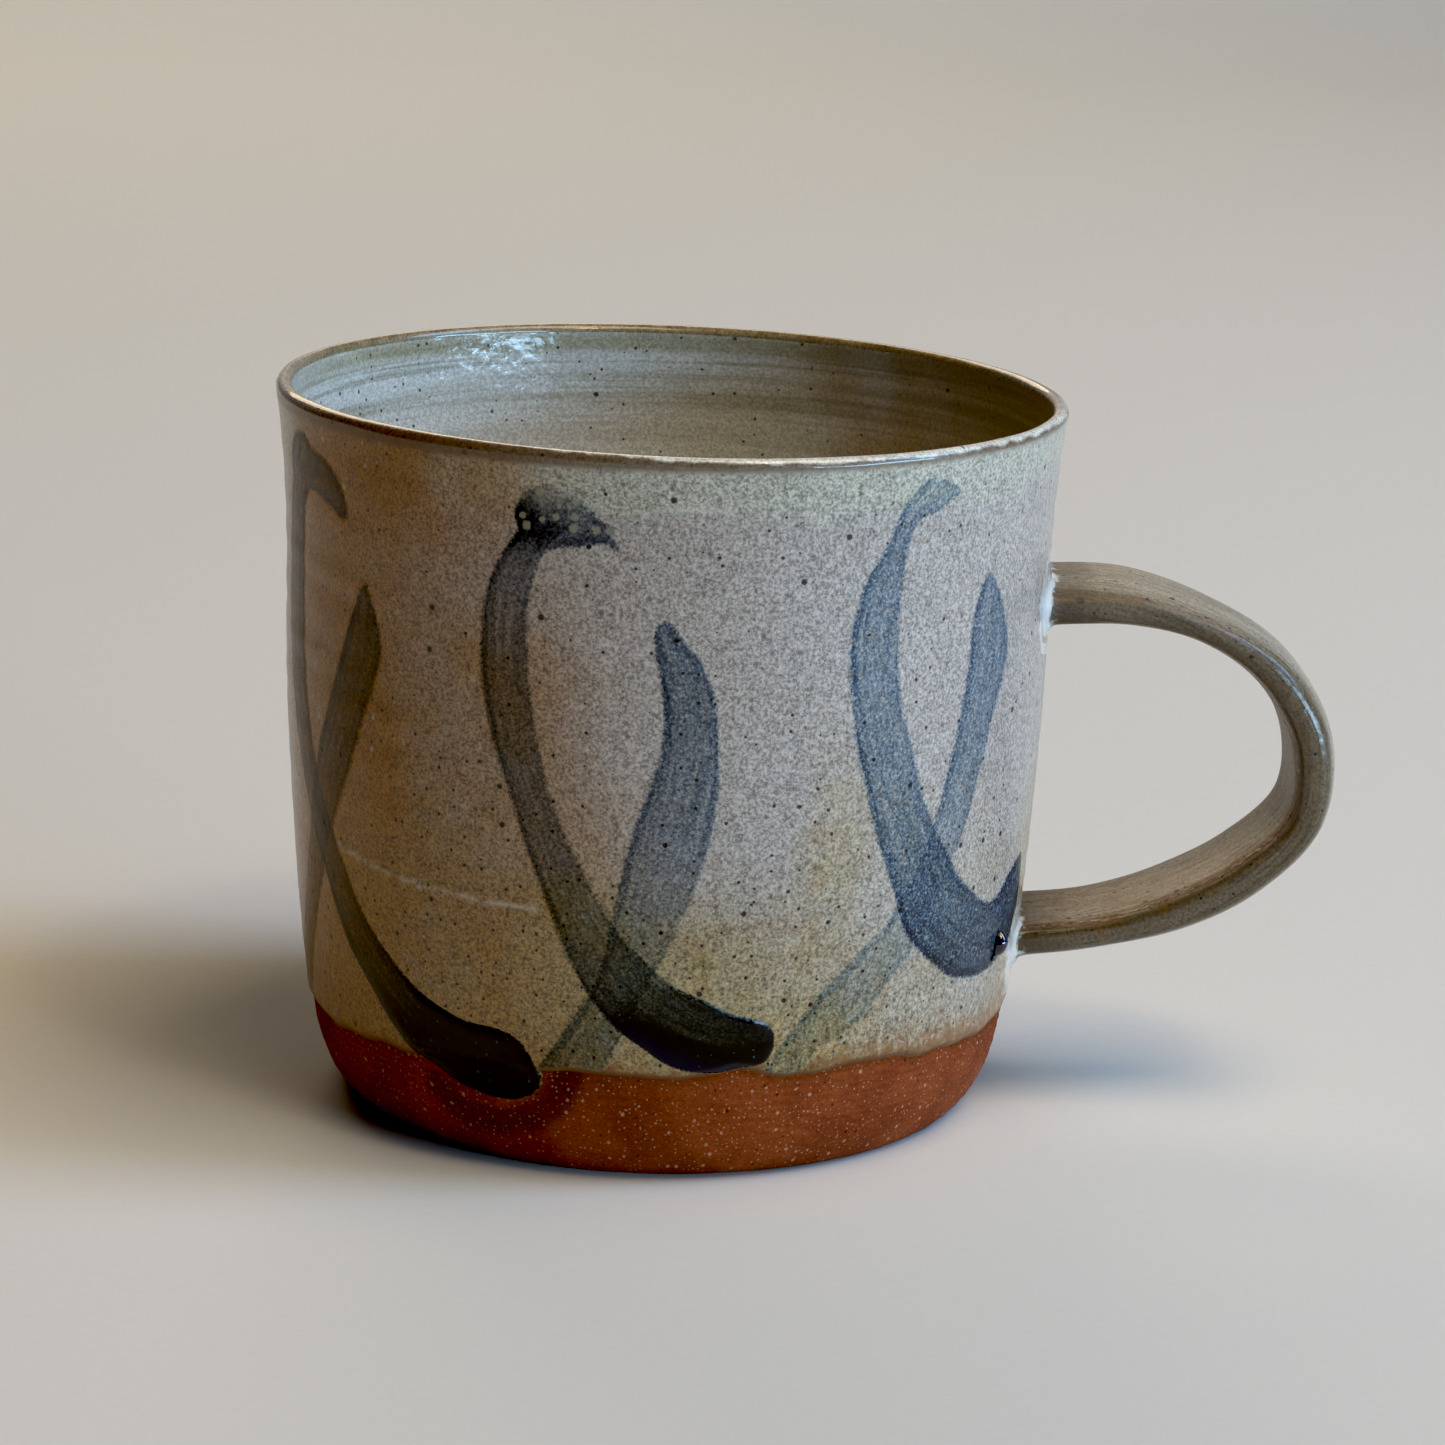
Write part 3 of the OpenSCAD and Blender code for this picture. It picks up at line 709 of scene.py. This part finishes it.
# Thin raised lines where the dips of glaze overlap: line, strength, where it fades, where full.
LAPS = [([(-7.3, 74.9), (-2, 76.3), (4, 76.5), (14, 75.8)], 0.7, 0.45, 0.05),
        ([(-56.5, 33.4), (-49, 32.7), (-41, 32.1), (-33, 31.7), (-18, 31.5)], 0.8, 0.5, 0.1),
        ([(22, 15.4), (28, 15.9), (34, 16.7)], 0.3, 0.4, 0.05)]


def outer_coat():
    d = np.concatenate([[-0.35, -0.05, 0.08, 0.2, 0.36, 0.55, 0.8, 1.1, 1.45, 1.85, 2.3],
                        between(2.75, LIP_Z - GLAZE_Z, 0.48)])
    az, dd = np.meshgrid(turn, d)
    edge = edge_z(az)
    z = edge + dd * (LIP_Z - edge) / (LIP_Z - GLAZE_Z)
    r = skin_r(az, z)
    r = np.where(dd < -0.2, clay_r(z) - 0.25, r)
    lap = sum(share * smooth(wide, narrow, outline_distance(az, z, line)[0])
              for line, share, wide, narrow in LAPS)
    r = r + 0.14 * lap
    ring_mesh("outer_glaze_coat", place(az, z, r), "outer_glaze", GLAZE,
              {"above_edge": z - edge, "lap": lap})


def lip_ring():
    a = np.radians(np.concatenate([[0], between(4, 176, 5.5), [180]]))
    az, aa = np.meshgrid(turn, a)
    middle = wall_r(LIP_Z) - LIP_T / 2
    r = middle + LIP_T / 2 * np.cos(aa)
    z = LIP_Z + LIP_BAND * np.sin(aa) * (1 + 0.05 * waves(41, 6, (2, 9), (50, 90), az, 0 * az))
    uneven = 0.05 * waves(43, 8, (4, 22), (50, 90), az, 0 * az)
    r = r + wall_bump(az, z) * np.cos(aa) ** 2 + uneven * np.sin(aa)
    ring_mesh("lip_glaze_ring", place(az, z, r), "lip_glaze", LIP,
              {"turn": aa / np.pi})


RING_PITCH, SPIRAL_PITCH = 6.4, 7


def liner_coat():
    cove = FLOOR_T + COVE_R * (1 - np.cos(np.radians(np.arange(84, 0, -6.0))))
    z = np.concatenate([between(LIP_Z, FLOOR_T + COVE_R, 0.45), cove])
    az, zz = np.meshgrid(turn[::2] * 1.0, z)
    groove = np.sin(2 * np.pi * (zz - az / 360 * RING_PITCH) / RING_PITCH
                    + 0.8 * waves(51, 4, (1, 3), (30, 70), az, zz))
    fine = np.sin(2 * np.pi * (zz - az / 360 * 2.1) / 2.1 + waves(53, 4, (1, 4), (14, 40), az, zz))
    rise = smooth(LIP_Z, LIP_Z - 5, zz)
    r = bore_r(zz) + wall_bump(az, zz) * np.where(zz > LIP_Z - 1, 1, 0.5)
    r = r + rise * (0.22 * groove + 0.05 * fine + 0.03 * waves(55, 6, (6, 24), (2, 6), az, zz))
    wall = place(az, zz, r)
    # the floor, with a shallow spiral out from the middle
    fr = between(1.5, bore_r(np.array(FLOOR_T)) - 0.6, 0.9)[::-1]
    faz, ff = np.meshgrid(turn[::2] * 1.0, fr)
    spiral = np.sin(2 * np.pi * (ff + faz / 360 * SPIRAL_PITCH) / SPIRAL_PITCH)
    fz = FLOOR_T + 0.18 * spiral * smooth(0, 8, ff) * smooth(28, 22, ff)
    floor = place(faz, fz + 0.05, ff)
    ring_mesh("liner_glaze_coat", np.vstack([wall, floor]), "liner_glaze", LINER,
              ends=(False, True))


# ---- the handle --------------------------------------------------------------------

path = spline(STRAP_PATH, 60)
path_run = np.concatenate([[0], np.cumsum(np.hypot(*np.diff(path[:, :2], axis=0).T))])
STRAP_LEN = path_run[-1]


def section(width, thick, sides):
    """The strap's outline, evenly spaced: across the strap, and out from its centre line."""
    a = np.linspace(0, 2 * np.pi, 4001)
    power = np.where(a < np.pi, CROWN_POWER, FLAT_POWER)
    y = width / 2 * np.sign(np.cos(a)) * np.abs(np.cos(a)) ** (2 / power)
    h = thick / 2 * np.sign(np.sin(a)) * np.abs(np.sin(a)) ** (2 / power)
    run = np.concatenate([[0], np.cumsum(np.hypot(np.diff(y), np.diff(h)))])
    even = np.linspace(0, run[-1], sides, endpoint=False)
    at = np.interp(even, run, a)
    return np.interp(at, a, y), np.interp(at, a, h), at, even


def strap(runs, grow, sides, lumps=0.0, sink=0.0):
    """Rings of the strap at distances along it, grown outwards by grow. Near a root a ring
    slides along X until the last one lies on the cup. Returns points and values."""
    rings, face, around, crease = [], [], [], []
    for s, g, sunk in zip(runs, grow, np.broadcast_to(sink, len(runs))):
        x, z, share = (np.interp(s, path_run, path[:, i]) for i in range(3))
        e = 0.3
        dx, dz = ((np.interp(min(s + e, STRAP_LEN), path_run, path[:, i])
                   - np.interp(max(s - e, 0), path_run, path[:, i])) for i in range(2))
        n = math.hypot(dx, dz)
        out = (-dz / n, dx / n)
        v = s / STRAP_LEN * 2 - 1
        w = STRAP_W[1] + (STRAP_W[0 if v < 0 else 2] - STRAP_W[1]) * v * v
        y, h, at, run = section(w + 2 * g, STRAP_T * share + 2 * g, sides)
        h = h + lumps * np.sin(at) * np.sin(s / 7.1 + 1.3 * np.sin(s / 11))
        y = y + lumps * 1.3 * np.cos(at) * np.sin(s / 9.3 + 2)
        px, pz = x + out[0] * h, z + out[1] * h
        root = min(s, STRAP_LEN - s)
        seat = max(1 - root / ROOT_LEN, 0) ** 2
        level = np.clip(pz, 1, 80)
        on_cup = np.sqrt(np.maximum(clay_r(level) + GLAZE_T - sunk, 1) ** 2 - y * y)
        rings.append(np.stack([px + (on_cup - px) * seat, y, pz + RIM_TILT * px * 0.3 * seat], -1))
        face.append(np.sin(at))
        around.append(run)
        corner = np.degrees(at)
        crease.append(np.exp(-((corner - 222) / 9) ** 2) + np.exp(-((corner - 318) / 9) ** 2))
    return np.array(rings), np.array(face), np.array(around), np.array(crease)


FILLET = 2.2
STRAP_SIDES, CLAY_SIDES = 144, 48
HAND_LUMPS = 0.10           # how uneven the pulled strap is


def fillet(s, size=FILLET):
    """How far the glaze and clay spread at a distance from the root."""
    root = np.minimum(s, STRAP_LEN - s)
    t = np.clip(1 - root / size, 0, 1)
    return size * (1 - np.sqrt(np.clip(1 - t * t, 0, 1))) * 0.9


def handle():
    runs = np.concatenate([[0, 0.15, 0.35, 0.6, 0.9], between(1.25, STRAP_LEN - 1.25, 0.3),
                           STRAP_LEN - np.array([0.9, 0.6, 0.35, 0.15, 0])])
    grow = GLAZE_T + fillet(runs)
    points, face, around, crease = strap(runs, grow, STRAP_SIDES, HAND_LUMPS, 0.15)
    along = np.repeat(runs[:, None], STRAP_SIDES, 1)
    ring_mesh("handle_glaze_coat", points, "handle_glaze", HANDLE,
              {"along": along, "around": around, "face": face, "crease": crease,
               "root": np.minimum(along, STRAP_LEN - along)}, flip=True)
    inner = between(0, STRAP_LEN, 1.5)
    points = strap(inner, 0 * inner, CLAY_SIDES, 0, 0.4)[0]
    ring_mesh("clay_strap", points, "pulled_handle", CLAY,
              plain_clay(points.shape[:2]), ends=(True, True), flip=True)


def root_pools():
    """Pressed-on clay at each root, and the pale glaze gathered in the angle over it."""
    for name, start, phase in (("upper", 0.0, 2), ("lower", STRAP_LEN, 1)):
        d = np.array([1.7, 1.5, 1.25, 1.0, 0.75, 0.5, 0.3, 0.15, 0.05, 0, 0, 0, 0, 0])
        out = np.array([0] * 10 + [0.5, 1.1, 1.8, 2.6])
        sunk = np.array([0.0] * 9 + [-0.12, -0.1, -0.07, -0.02, 0.12])
        s = np.abs(start - d)
        under = GLAZE_T + fillet(s) + out
        swell = 0.22 * smooth(1.7, 0.9, d)
        high = strap(s, under + swell, STRAP_SIDES, HAND_LUMPS, sunk)[0]
        hidden = strap(s, under - 0.25, STRAP_SIDES, HAND_LUMPS, sunk)[0]
        turns = np.linspace(0, 2 * np.pi, STRAP_SIDES, endpoint=False)
        reach = (1.0 + 0.3 * np.sin(2 * turns + phase) + 0.2 * np.sin(5 * turns + 2)
                 + 0.15 * np.sin(11 * turns))
        d, out = d[:, None], out[:, None]
        seen = smooth(reach + 0.12, reach - 0.12, d)
        points = hidden + (high - hidden) * seen[..., None]
        thick = smooth(reach + 0.1, reach - 0.3, d) * smooth(2.4, 0.5, out)
        ring_mesh(name + "_root_glaze", points, name + "_glaze_pool", POOL,
                  {"thick": thick}, flip=start == 0)
        s = np.abs(start - np.linspace(0, 2.2, 9))
        points = strap(s, 0.02 + fillet(s) * 0.8, CLAY_SIDES, 0, 0.4)[0]
        ring_mesh(name + "_clay_joint", points, name + "_handle_joint", CLAY,
                  plain_clay(points.shape[:2]), flip=start == 0)


# ---- the brushwork -----------------------------------------------------------------

CELL = 0.26         # spacing of the strokes' mesh, mm
MARGIN = 0.9        # how far the mesh reaches past a stroke
STROKE_TOP = 80.8   # and how high


def inside_outline(az, z, outline):
    """Which points lie inside a closed outline."""
    hit = np.zeros(az.shape, bool)
    for (a0, z0), (a1, z1) in zip(outline, np.roll(outline, -1, axis=0)):
        if z0 == z1:
            continue
        cross = (z0 > z) != (z1 > z)
        hit ^= cross & (az < (a1 - a0) * (z - z0) / (z1 - z0) + a0)
    return hit


def evenly(line, n):
    run = np.concatenate([[0], np.cumsum(np.hypot(*(np.diff(line, axis=0) * (TO_MM, 1)).T))])
    at = np.linspace(0, run[-1], n)
    return np.stack([np.interp(at, run, line[:, i]) for i in range(2)], -1)


def stroke_values(key, stroke, az, z, shift):
    left, right = spline(stroke["left"]), spline(stroke["right"])
    outline = np.vstack([left, right[::-1]])
    closed = np.vstack([outline, outline[:1]])
    d = outline_distance(az, z, closed)[0]
    inside = np.where(inside_outline(az, z, outline), d, -d)
    l, r = evenly(left, 60), evenly(right, 60)
    middle = (l + r) / 2
    along = outline_distance(az, z, middle)[1]
    lower, upper = outline_distance(az, z, left)[0], outline_distance(az, z, right)[0]
    length = np.hypot(*(np.diff(middle, axis=0) * (TO_MM, 1)).T).sum()
    flow = np.array(stroke["flow"])
    share = along / length
    strength = np.interp(share, flow[:, 0], flow[:, 1])
    for a, h, wide, high, change in stroke["spots"]:
        away = ((az - a - shift) / wide) ** 2 + ((z - h) / high) ** 2
        strength = strength * (1 + change * np.exp(-away))
    return {key + "_inside": inside, key + "_across": (upper - lower) / 2, key + "_along": along,
            key + "_strength": strength, key + "_blue": np.full(az.shape, stroke["blue"]),
            key + "_run": np.interp(share, flow[:, 0], flow[:, 2])}


def varied(line, start, shift, seed):
    """A stroke's edge moved round the cup by shift. A seed above 0 also redraws it a little, as
    a painter would, with the motif's start at the azimuth start."""
    p = np.array(line, float)
    if seed:
        c = np.random.default_rng(seed).uniform(-1, 1, 8)
        a, h = p[:, 0] - start, p[:, 1]
        p = np.stack([p[:, 0] + a * 0.08 * c[0] + 1.2 * c[1] * np.sin(h / 13 + 3 * c[2]),
                      h + 1.2 * c[3] * np.sin(a / 9 + 3 * c[4]) + 0.8 * c[5]], -1)
    return p + (shift, 0)


def motif(name, strokes, shift=0.0, seed=0):
    """A falling stroke and the one that crosses it, as one raised skin on the glaze."""
    start = strokes[0]["left"][0][0]
    moved = [{**s, **{side: varied(s[side], start, shift, seed) for side in ("left", "right")}}
             for s in strokes]
    every = np.vstack([m[side] for m in moved for side in ("left", "right")])
    low, high = every.min(0) - (2, 1.5), every.max(0) + (2, 1.5)
    az, z = np.meshgrid(np.arange(low[0], high[0], CELL / TO_MM),
                        np.arange(low[1], min(high[1], STROKE_TOP), CELL))
    values = {}
    for key, m in zip("ab", moved):
        values.update(stroke_values(key, m, az, z, shift))
    inside = np.maximum(values["a_inside"], values["b_inside"])
    run = np.where(values["a_inside"] > -MARGIN, values["a_run"], 0)
    above = z - edge_z(az)
    film = (0.035 * smooth(-0.5, 0.6, inside) + 0.03 * smooth(0, 2, inside)
            - 0.03 * smooth(-0.3, -0.8, inside))
    body = 0.34 * np.sqrt(smooth(-0.15, 1.6, inside)) - 0.12 * smooth(0.05, -0.4, inside)
    deep = smooth(0.25, 0.9, run)
    base = skin_r(az, z)
    full = clay_r(z) + wall_bump(az, z) + GLAZE_T * smooth(-2.5, 1.5, above)
    bare = smooth(0.5, 0.1, above)
    lift = ((film - 0.3 * bare) * (1 - deep)
            + (body - 0.22 * bare * smooth(0.1, -0.4, inside)) * deep)
    r = np.where(deep > 0, base + (np.maximum(full, base) - base) * deep, base) + lift
    blotch = smooth(-0.3, 0.5, values["a_inside"]) * smooth(71.5, 72.5, z)
    values["holes"] = blotch * (strokes is FRONT)
    keep = inside > -MARGIN
    cell = keep[:-1, :-1] | keep[1:, :-1] | keep[:-1, 1:] | keep[1:, 1:]
    rows, cols = az.shape
    faces = grid_faces(rows, cols, False).reshape(rows - 1, cols - 1, 4)[cell]
    used = np.unique(faces)
    index = np.full(rows * cols, -1)
    index[used] = np.arange(len(used))
    points = place(az, z, r).reshape(-1, 3)[used]
    make(name + "_strokes", points, index[faces].tolist(),
         "brushwork_" + name, BRUSH, {k: v.ravel()[used] for k, v in values.items()})


def bead(name, az, z, radius, length, tilt, node):
    """A drop of thick glaze lying on the wall, pointed at its upper end."""
    t = np.linspace(0, np.pi, 25)
    a = np.linspace(0, 2 * np.pi, 40, endpoint=False)
    tt, aa = np.meshgrid(t, a, indexing="ij")
    up = -np.cos(tt)
    wide = np.sin(tt) * (1 - 0.35 * np.clip(up, 0, 1) ** 1.5)
    side, out = radius * wide * np.cos(aa), radius * wide * np.sin(aa)
    rise = length * up
    c, s = math.cos(math.radians(tilt)), math.sin(math.radians(tilt))
    along, high = side * c - rise * s, side * s + rise * c
    base = skin_r(np.full(tt.shape, az), z + high)
    points = place(az + along / TO_MM, z + high, base + 0.25 * radius + out)
    ring_mesh(name, points[1:-1], node, BEAD, ends=(True, True), flip=True)


clay_cup()
outer_coat()
lip_ring()
liner_coat()
handle()
root_pools()
motif("front", FRONT)
motif("right", RIGHT)
motif("left", LEFT)
motif("back_right", FRONT, 132, 5)
motif("back", RIGHT, 134, 6)
motif("back_left", FRONT, 246, 8)
bead("glaze_bead_large", 65.6, 22.2, 1.05, 1.5, -12, "glaze_bead")
bead("glaze_bead_small", 64.6, 20.6, 0.35, 0.45, -30, None)

# ---- table, light and camera -------------------------------------------------------


def plain(name, colour, roughness):
    look = Look(name)
    weave = look.noise(1.2, 2)
    return look.finish(look.mix(look.ramp(weave, 0.3, 0.7), colour,
                                tuple(c * 0.985 for c in colour[:3]) + (1,)), roughness)


def table():
    """A plain pale table top that curves up far behind."""
    front, back, bend, top, half = -1500, 1200, 700, 2400, 2500
    a = np.radians(np.arange(10, 91, 10))
    y = np.concatenate([np.linspace(front, back, 12), back + bend * np.sin(a), [back + bend]])
    h = np.concatenate([np.zeros(12), bend - bend * np.cos(a), [top]])
    points = np.array([(x, v, w) for v, w in zip(y, h) for x in (-half, half)])
    faces = [[2 * i, 2 * i + 1, 2 * i + 3, 2 * i + 2] for i in range(len(y) - 1)]
    mesh = bpy.data.meshes.new("table")
    mesh.from_pydata((points * MM).tolist(), [], faces)
    mesh.shade_smooth()
    mesh.materials.append(plain("table_top", srgb(225, 225, 223), 0.9))
    obj = bpy.data.objects.new("table", mesh)
    bpy.context.collection.objects.link(obj)


def lamp(name, azimuth, elevation, distance, size, power, colour):
    """A soft rectangular lamp that looks at the middle of the mug."""
    light = bpy.data.lights.new(name, "AREA")
    light.shape, light.size, light.size_y = "RECTANGLE", size[0], size[1]
    light.energy, light.color = power, colour
    obj = bpy.data.objects.new(name, light)
    a, e = math.radians(azimuth), math.radians(elevation)
    way = Vector((math.sin(a) * math.cos(e), -math.cos(a) * math.cos(e), math.sin(e)))
    obj.location = Vector((0, 0, 0.04)) + way * distance
    obj.rotation_euler = way.to_track_quat("Z", "Y").to_euler()
    bpy.context.collection.objects.link(obj)


table()
lamp("window", 60, 7, 1.6, (1.15, 0.24), 19.5, (0.42, 0.71, 1.0))
lamp("side_window", 86, 38, 1.6, (0.5, 0.9), 12, (0.36, 0.62, 1.0))
lamp("bulb", 40, 60, 1.6, (0.12, 0.12), 1.3, (1.0, 0.8, 0.5))
lamp("room_lamp", 60, 68, 1.6, (1.0, 0.9), 14, (1.0, 0.78, 0.52))
lamp("far_lamp", -165, 30, 1.6, (0.8, 0.7), 5.2, (1.0, 0.83, 0.6))

scene = bpy.context.scene
scene.world = bpy.data.worlds.new("room")
scene.world.use_nodes = True
background = scene.world.node_tree.nodes["Background"]
background.inputs["Color"].default_value = (1, 0.98, 0.95, 1)
background.inputs["Strength"].default_value = 0.01
scene.view_settings.view_transform = "Standard"
# a camera's slight contrast: the deepest shadows go to black
scene.view_settings.use_curve_mapping = True
scene.view_settings.curve_mapping.black_level = (0.013, 0.015, 0.018)

CAM_AT = (0.1, -505.6, 168.2)
YAW, PITCH, ROLL, LENS = math.radians(0.75), math.radians(13.94), math.radians(1.70), 112.1

camera = bpy.data.objects.new("camera", bpy.data.cameras.new("camera"))
ahead = Vector((math.sin(YAW) * math.cos(PITCH), math.cos(YAW) * math.cos(PITCH), -math.sin(PITCH)))
level = ahead.cross(Vector((0, 0, 1))).normalized()
upright = level.cross(ahead)
right = math.cos(ROLL) * level + math.sin(ROLL) * upright
top = -math.sin(ROLL) * level + math.cos(ROLL) * upright
camera.matrix_world = Matrix.LocRotScale(Vector(CAM_AT) * MM, None, None) @ \
    Matrix((right, top, -ahead)).transposed().to_4x4()
camera.data.sensor_width, camera.data.lens = 36, LENS
camera.data.clip_start, camera.data.clip_end = 0.05, 20
bpy.context.collection.objects.link(camera)
scene.camera = camera
